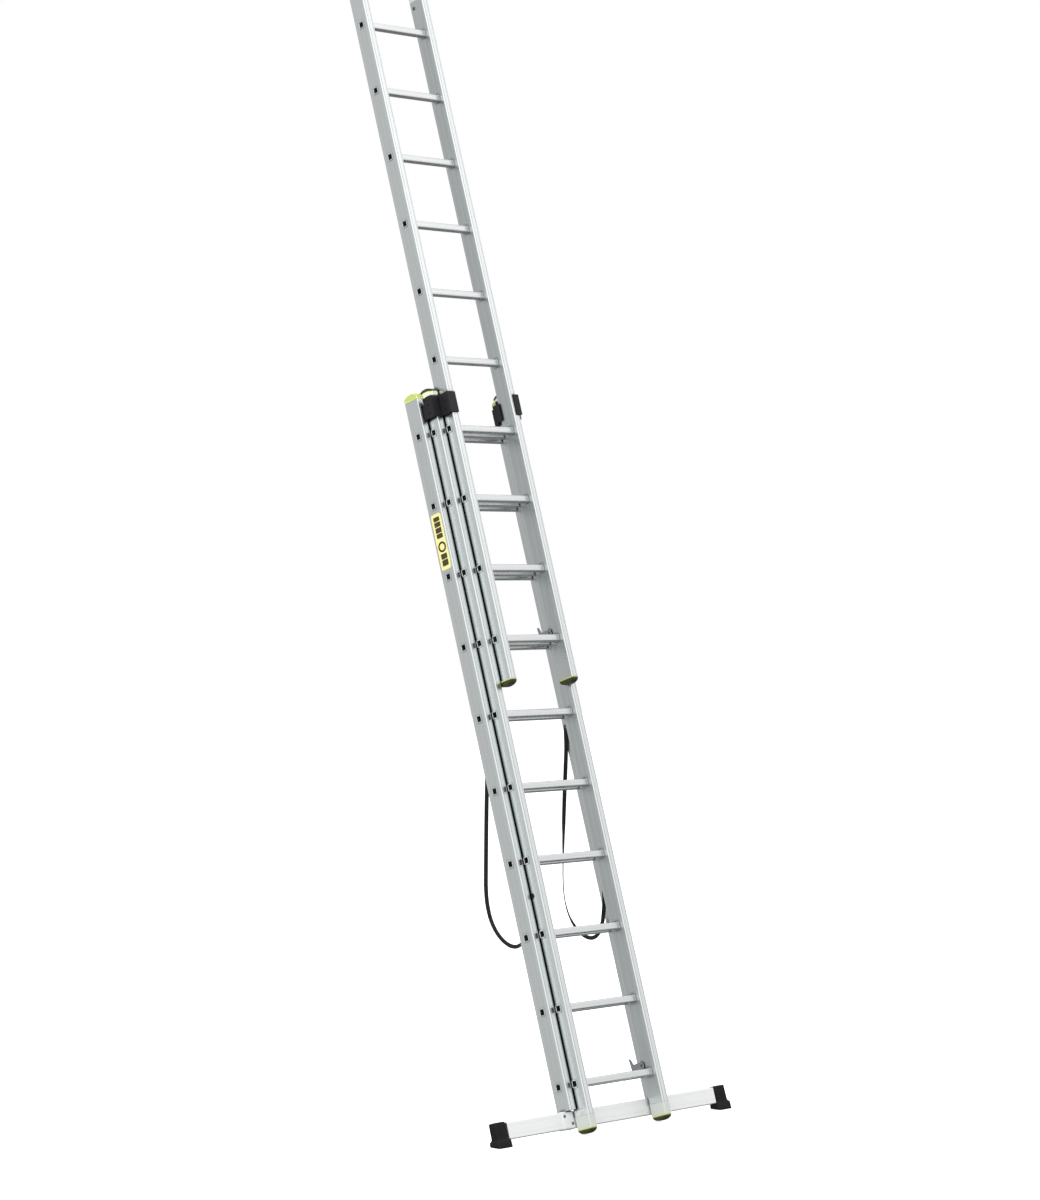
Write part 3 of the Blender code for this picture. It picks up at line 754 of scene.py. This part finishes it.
def guide_solid(half, depth, low, high, lip_from, out):
    """C-shaped guide block round a right-hand stile's outside and back, relieved for the rung lips.

    half and depth place the stile, low and high are the block's ends, lip_from is where its
    front lip starts, and out how far it stands out beyond the next section's gap.
    """
    front, back = depth - STILE_DEEP / 2, depth + STILE_DEEP / 2
    outer_front = front + SECTION_STEP - TOUCH
    slot_in, slot_out = half + FIT, half + NEST_GAP - FIT
    block = slot_out + out
    relief = RUNG_SIZE / 2 + 0.0018 + FIT
    web = half - STILE_WIDE - 2 * FIT
    face, hook_in = front - FIT - GUIDE_WALL, half - STILE_WIDE - HOOK_REACH
    outline = [
        (lip_from, face), (block, face), (block, outer_front),
        (slot_out + STILE_CORNER, outer_front), (slot_out, outer_front + STILE_CORNER),
        (slot_out, back + FIT + GUIDE_BACK),
        (hook_in, back + FIT + GUIDE_BACK), (hook_in, depth + HOOK_FROM),
        (web, depth + HOOK_FROM), (web, back + FIT),
        (slot_in, back + FIT), (slot_in, depth + relief), (slot_out, depth + relief),
        (slot_out, depth - relief), (slot_in, depth - relief), (slot_in, front - FIT),
        (lip_from, front - FIT),
    ]
    return prism(outline, low, high, "z")


def guides(name, section_name, body, lips, out):
    """A pair of guides. lips is how far in each one's front lip reaches from the stile's outside.

    section_name's stiles run in them, body is what they ride on, and out is how thick their
    outer blocks are.
    """
    half, depth = half_of(section_name), depth_of(section_name)
    for side, sign in SIDES:
        low, high = local_box(f"{name}_{side}")
        bm = guide_solid(half, depth, low.z, high.z, half - lips[side], out)
        tools = [hook_step(half, depth, high.z)]
        if body == "hinge_guides":
            tools.append(swing_relief(low.z, high.z))
        bm = carved(bm, tools)
        bm = soften(bm, 0.0016, 3)
        if sign < 0:
            bmesh.ops.scale(bm, vec=(-1, 1, 1), verts=bm.verts[:])
        piece(f"{name}_moulding_{side}", bm, ["black"], body, [f"{name}_{side}"])
        outside = half + NEST_GAP - FIT + out
        front = depth - STILE_DEEP / 2
        for level, rise in BLOCK_SCREWS:
            z = (low.z if rise > 0 else high.z) + rise
            spot = Vector((sign * (outside - 0.0004), front + 0.018, z))
            piece(f"{name}_screw_{side}_{level}", button_head(0.0042, 0.0022, sign, spot), ["black"],
                  body)


def hook_step(half, depth, high):
    """What is cut off the top of a guide's inner hook, which ends lower than the block."""
    inside, back = half - STILE_WIDE, depth + STILE_DEEP
    outline = [(inside - 0.020, depth), (inside, depth), (inside, back), (inside - 0.020, back)]
    return prism(outline, high - HOOK_SHORTER, high + 0.002, "z")


def swing_relief(low, high):
    """Wedge off the hinge guide's outer block, which would swing into the base's stile."""
    half = half_of("mid")
    back = depth_of("base") - STILE_DEEP / 2 + STILE_CORNER
    start, over = low + SWING_FROM, high + 0.002
    outline = [(back, start), (back, over), (-0.015, over), (back - STILE_CORNER, start)]
    return prism(outline, half + CLEAR, half + 0.030)


# ---- rung hooks ----------------------------------------------------------
PIVOT_RISE = 0.030             # a hook's pivot above its section's lowest rung
PLATE_NEAR, PLATE_FAR = 0.0025, 0.0065   # the plate's two faces, from the stile's inner web
RIVET_SHANK = 0.0034


def hook(name, section_name, side, sign):
    """Rung hook: a pressed plate with rounded corners and its rivet.

    The outline, as (depth, height) from its section's lowest rung, runs from under the pivot
    over the rung behind, down to the nose behind it, up the release lever, and back.
    """
    pivot = joint_place(f"{name}_{side}_turn")
    depth = depth_of(section_name)
    rung_z = pivot.z - PIVOT_RISE
    py, rung_back = pivot.y - depth, SECTION_STEP + RUNG_SIZE / 2
    over = RUNG_SIZE / 2 + 0.003
    outline = [
        (py - 0.010, 0.021), (py - 0.004, over), (rung_back + 0.0045, over),
        (rung_back + 0.0045, 0.002), (rung_back + 0.009, -0.006), (rung_back + 0.0165, 0.004),
        (rung_back + 0.0175, over + 0.018), (rung_back + 0.0215, over + 0.047),
        (rung_back + 0.0145, over + 0.049), (rung_back + 0.003, over + 0.024),
        (py + 0.004, 0.043), (py - 0.008, 0.040),
    ]
    web = half_of(section_name) - STILE_WIDE
    faces = sorted((sign * (web - PLATE_NEAR), sign * (web - PLATE_FAR)))
    bm = prism([(y + depth, z + rung_z) for y, z in outline], *faces)
    bm = soften(bm, 0.0024, 3, only=lambda e: abs(e.verts[0].co.x - e.verts[1].co.x) > 0.001)
    bm = soften(bm, 0.0006, 2, radians(60))
    centre = Vector((0, pivot.y, pivot.z))
    rivet = turned([(sign * x, r) for x, r in (
        (web + 0.008, RIVET_SHANK), (web - 0.0068, RIVET_SHANK), (web - 0.0068, 0.0062),
        (web - 0.0076, 0.0060), (web - 0.0084, 0.0048), (web - 0.0088, 0.0028))], centre)
    piece(f"{name}_plate_{side}", bm, ["zinc"], f"{name}_{side}", [f"{name}_{side}"])
    piece(f"{name}_rivet_{side}", rivet, ["bolt"], f"{name}_{side}")


# ---- stabiliser bar ------------------------------------------------------
BAR_WALL = 0.002
BAR_GROOVES = (-0.016, 0.016)
SLEEVE_WALL = 0.0025
SLEEVE_PAST = 0.022            # how far a sleeve reaches past the base's stile


def stabiliser():
    """Floor bar, its two bolted sleeves under the base's stiles, and its rubber feet."""
    low, high = local_box("stabiliser_bar")
    centre = (low + high) / 2
    deep, tall = high.y - low.y - 2 * SLEEVE_WALL, high.z - low.z - 2 * SLEEVE_WALL

    def around(grow, x, radius=0.004, groove=0.0):
        ring = grooved_box(deep + 2 * grow, tall + 2 * grow, radius + grow, (), BAR_GROOVES, 0.0012,
                           groove)
        return [(x, u + centre.y, v + centre.z) for u, v in ring]

    ends = [(-BAR_WALL, high.x), (-0.0004, high.x), (0, high.x - 0.0004)]
    rings = [around(grow, -x) for grow, x in ends] + [around(0, -high.x + 0.0005, groove=0.0006)]
    rings += [around(0, high.x - 0.0005, groove=0.0006)] + [around(grow, x) for grow, x in reversed(ends)]
    tube = loft(rings, ring_loop=True)
    piece("stabiliser_tube", tube, ["bar"], "base", ["stabiliser_bar"])

    inner, outer = half_of("mid") + NEST_GAP, half_of("base") + SLEEVE_PAST
    for side, sign in SIDES:
        a, b = sorted((sign * inner, sign * outer))
        steps = ((CLEAR, a), (SLEEVE_WALL - 0.0005, a), (SLEEVE_WALL, a + 0.0005),
                 (SLEEVE_WALL, b - 0.0005), (SLEEVE_WALL - 0.0005, b), (CLEAR, b))
        sleeve = loft([around(grow, x) for grow, x in steps], ring_loop=True)
        piece(f"stabiliser_sleeve_{side}", sleeve, ["bar"], "base")
        for k, (x, z) in enumerate(((sign * (outer - 0.010), centre.z + 0.016),
                                    (sign * (inner + 0.010), centre.z - 0.014))):
            spot = Vector((x, low.y + CLEAR, z))
            piece(f"stabiliser_bolt_{side}_{k + 1}", button_head(0.0040, 0.0016, -1, spot, "y"), ["bolt"],
                  "base")
        boot(side, centre, deep, tall)


SOLE_FLARE = 0.0045            # how far the sole stands out all round
TREAD_STEP = 0.012


def boot(side, centre, deep, tall):
    """Rubber foot: a socket with soft edges, and a flared sole with tread grooves.

    sole(y) is the floor's height at a depth, so that the sole lies flat on it.
    """
    low, high = local_box(f"stabiliser_foot_{side}")
    middle = (low.x + high.x) / 2
    ground = TO_LADDER @ Vector((0, 0, 0))
    long = high.x - low.x - 2 * SOLE_FLARE

    def sole(y):
        return ground.z + (y - ground.y) * UP.y / UP.z

    def ring(grow, z=None, lift=0.0):
        points = rounded_box(long + 2 * grow, deep + 0.012 + 2 * grow, 0.007, 5)
        return [(middle + u, v + centre.y, sole(v + centre.y) + lift if z is None else z)
                for u, v in points]

    bar_low, bar_high = centre.z - tall / 2, centre.z + tall / 2
    top = bar_high + 0.004
    stack = [ring(-0.0075, top), ring(-0.0052, top - 0.0004), ring(-0.0034, top - 0.0018),
             ring(-0.0028, top - 0.0045), ring(-0.0022, bar_low + 0.012), ring(-0.0016, bar_low + 0.007),
             ring(0.0006, bar_low + 0.003), ring(0.0030, bar_low + 0.0008),
             ring(0.0042, bar_low - 0.0015),
             ring(SOLE_FLARE, lift=0.0060), ring(SOLE_FLARE, lift=0.0030),
             ring(0.0040, lift=0.0009), ring(0.0030, lift=0.0001)]
    bm = loft(stack)
    tools = []
    for k in (-2, -1, 0, 1, 2):
        x = middle + k * TREAD_STEP
        tools.append(loft([[(x + u, y, sole(y) + v) for u, v in
                            ((-0.0018, -0.004), (0.0018, -0.004), (0.0010, 0.0022), (-0.0010, 0.0022))]
                           for y in (low.y - 0.01, high.y + 0.01)]))
    bm = carved(bm, tools)
    piece(f"stabiliser_boot_{side}", bm, ["rubber"], "base", [f"stabiliser_foot_{side}"])


# ---- label ---------------------------------------------------------------
LABEL_LOW, LABEL_HIGH = 1.990, 2.209
LABEL_WIDE = 0.056
LABEL_THICK, PRINT_THICK = 0.0003, 0.0001
# (place from the label's middle as a share of its length, height) of each printed block
LABEL_BLOCKS = ((0.405, 0.017), (0.310, 0.019), (0.205, 0.020), (0.105, 0.018), (-0.265, 0.021),
                (-0.380, 0.024))
BLOCK_WIDE = 0.034
LABEL_RING = -0.095
RING_OUT, RING_IN = 0.0220, 0.0135


def label():
    """Plain yellow label with a row of dark blocks and a ring, on the base's left outer web."""
    x = -half_of("base")
    y, z = depth_of("base") - 0.001, (LABEL_LOW + LABEL_HIGH) / 2
    tall = LABEL_HIGH - LABEL_LOW
    under, top = x - LABEL_THICK, x - LABEL_THICK - PRINT_THICK
    plate = prism([(u + y, v + z) for u, v in rounded_box(LABEL_WIDE, tall, 0.009, 6)], under, x)
    blocks = [prism([(u + y, v + z + share * tall) for u, v in rounded_box(BLOCK_WIDE, high, 0.003, 3)],
                    top, under) for share, high in LABEL_BLOCKS]
    middle = Vector((0, y, z + LABEL_RING * tall))
    turns = [pi * i / 24 for i in range(48)]
    ring = [[Vector((t, r * cos(a), r * 0.95 * sin(a))) + middle for a in turns]
            for t, r in ((under, RING_OUT), (top, RING_OUT), (top, RING_IN), (under, RING_IN))]
    blocks.append(loft(ring, ring_loop=True))
    piece("label_plate", plate, ["yellow"], "base")
    piece("label_blocks", merge(*blocks), ["ink"], "base")


# ---- studio --------------------------------------------------------------
FLOOR_GLOW, ROOM_GLOW = 0.16, 0.70
HORIZON = -0.55, -0.24         # the heights between which the first turns into the second
CEILING = 0.30, 0.95, 0.0, 0.5   # the same for the light from above, and what it adds
# (direction, cosine where the lobe starts, cosine where it is full, strength): front right, front
# left, and behind and below, which the leaning ladder's back mirrors
ROOM_LOBES = (
    ((0.69, -0.60, 0.40), 0.20, 0.90, 0.32),
    ((-0.75, -0.63, 0.20), 0.22, 0.75, 0.52),
    ((0.0, 0.60, -0.80), 0.76, 0.96, 0.45),
)
LIGHT_SIZE, LIGHT_AIM = 6.0, Vector((0, 0.3, 1.8))
# (name, place, watts, whether metal mirrors it)
LIGHTS = (
    ("key_light", (3.0, -5.5, 7.5), 30, True),
    ("fill_light", (-7.0, -2.5, 5.0), 430, False),
    ("back_light", (5.0, 6.0, 5.0), 120, False),
)
FLOOR_HALF = 30
FLOOR_EMISSION = 0.62


def world_light():
    """White to the camera. Other rays meet a soft room: bright in front and above, dark below."""
    world = bpy.data.worlds.new("studio")
    bpy.context.scene.world = world
    world.use_nodes = True
    tree = world.node_tree
    shown = tree.nodes["Background"]
    shown.inputs["Color"].default_value = (1, 1, 1, 1)
    lit = node(tree, "ShaderNodeBackground")
    way = node(tree, "ShaderNodeTexCoord").outputs["Generated"]
    split = node(tree, "ShaderNodeSeparateXYZ")
    tree.links.new(way, split.inputs["Vector"])
    total = spread(tree, split.outputs["Z"], *HORIZON, FLOOR_GLOW, ROOM_GLOW)
    lobes = [spread(tree, split.outputs["Z"], *CEILING)]
    for direction, start, full, strength in ROOM_LOBES:
        toward = node(tree, "ShaderNodeVectorMath", operation="DOT_PRODUCT")
        toward.inputs[1].default_value = direction
        tree.links.new(way, toward.inputs[0])
        lobes.append(spread(tree, toward.outputs["Value"], start, full, 0.0, strength))
    for lobe in lobes:
        added = node(tree, "ShaderNodeMath", operation="ADD")
        tree.links.new(total, added.inputs[0])
        tree.links.new(lobe, added.inputs[1])
        total = added.outputs[0]
    tree.links.new(total, lit.inputs["Strength"])
    path = node(tree, "ShaderNodeLightPath")
    mix = node(tree, "ShaderNodeMixShader")
    tree.links.new(path.outputs["Is Camera Ray"], mix.inputs[0])
    tree.links.new(lit.outputs[0], mix.inputs[1])
    tree.links.new(shown.outputs[0], mix.inputs[2])
    tree.links.new(mix.outputs[0], tree.nodes["World Output"].inputs["Surface"])
    bpy.context.scene.view_settings.view_transform = "Standard"


def softbox(name, place, power, mirrored):
    """Round soft light. One that isn't mirrored lights paint, plastic and cloth, but not metal."""
    data = bpy.data.lights.new(name, "AREA")
    data.shape, data.size, data.energy = "DISK", LIGHT_SIZE, power
    light = bpy.data.objects.new(name, data)
    bpy.context.scene.collection.objects.link(light)
    way = LIGHT_AIM - Vector(place)
    light.matrix_world = Matrix.Translation(place) @ way.to_track_quat("-Z", "Y").to_matrix().to_4x4()
    light.visible_glossy = mirrored


def floor():
    """Plain pale floor that glows a little. Metal doesn't mirror it, and it lights nothing."""
    bm = bmesh.new()
    bmesh.ops.create_grid(bm, x_segments=8, y_segments=8, size=FLOOR_HALF)
    mesh = mesh_of(bm, "floor")
    made = surface("floor_paint", (0.93, 0.93, 0.93), (0.90, 0.90, 0.90), (0.7, 0.8), fine=20.0,
                   bump=0.02)
    shader = made.node_tree.nodes["Principled BSDF"]
    shader.inputs["Emission Color"].default_value = (1, 1, 1, 1)
    shader.inputs["Emission Strength"].default_value = FLOOR_EMISSION
    mesh.materials.append(made)
    obj = bpy.data.objects.new("floor", mesh)
    bpy.context.scene.collection.objects.link(obj)
    obj.visible_glossy = False
    obj.visible_diffuse = False


# ---- the ladder ----------------------------------------------------------
make_camera()
for side, sign in SIDES:
    strap(side, sign)
    strap_bolts(side, sign)

HINGE = joint_place("mid_hinge")
section("base", [(HINGE.y, HINGE.z, 0.006)])
for prefix in ("mid", "fly"):
    pivot = joint_place(f"{prefix}_hook_r_turn")
    section(prefix, [(pivot.y, pivot.z, 0.0045)])

# each cap's bands are set from the line where its dome starts
line = local_box("fly_top_cap_r")[1].z - CAP_DOME
MATERIALS["fly_top_cap"] = banded_material("fly_top_plastic", (0.60, 0.67, 0.17), (0.52, 0.59, 0.12),
                                           ((line - 0.0006, line + 0.0006, CAP_GREY),))
for side, sign in SIDES:
    cap(f"base_top_cap_{side}", "base", "lime", skirt=CAP_SKIRT)
    # The middle's upper caps are painted in a pale, brightly lit tone of the lime: a painted highlight.
    cap(f"mid_top_cap_{side}", "mid", "lit_lime", skirt=CAP_SKIRT)
    # a dark arch of painted shade over the dome
    shade_arch(f"mid_top_cap_{side}", "mid")
    cap(f"fly_top_cap_{side}", "fly", "fly_top_cap")
    cap_rivet(side, sign)
LOWER_CAPS = (("mid_foot", "mid", 9, 0.0), ("fly_bottom_cap", "fly", 0, 0.0035))
for name, section_name, ribs, above_dome in LOWER_CAPS:
    line = local_box(name + "_r")[0].z + CAP_DOME + above_dome
    # Painted light on the lower caps: pale grey-green above is a painted highlight of the lime, a lime
    # band follows, and the down-facing dome is dark olive, painted shade.
    bands = ((line + 0.001, line + 0.006, CAP_LIME), (line - 0.003, line + 0.001, CAP_SHADED_OLIVE))
    MATERIALS[name] = banded_material(name + "_plastic", (0.60, 0.63, 0.60), (0.53, 0.56, 0.52), bands)
    for side, sign in SIDES:
        cap(f"{name}_{side}", section_name, name, down=True, ribs=ribs)

guides("hinge_guide", "mid", "hinge_guides", {"l": 0.0200, "r": 0.0135}, 0.0165)
guides("fly_guide", "fly", "mid", {"l": 0.0315, "r": 0.0170}, 0.0080)
for side, sign in SIDES:
    hook("mid_hook", "mid", side, sign)
    hook("fly_hook", "fly", side, sign)
stabiliser()
label()

world_light()
for light in LIGHTS:
    softbox(*light)
floor()
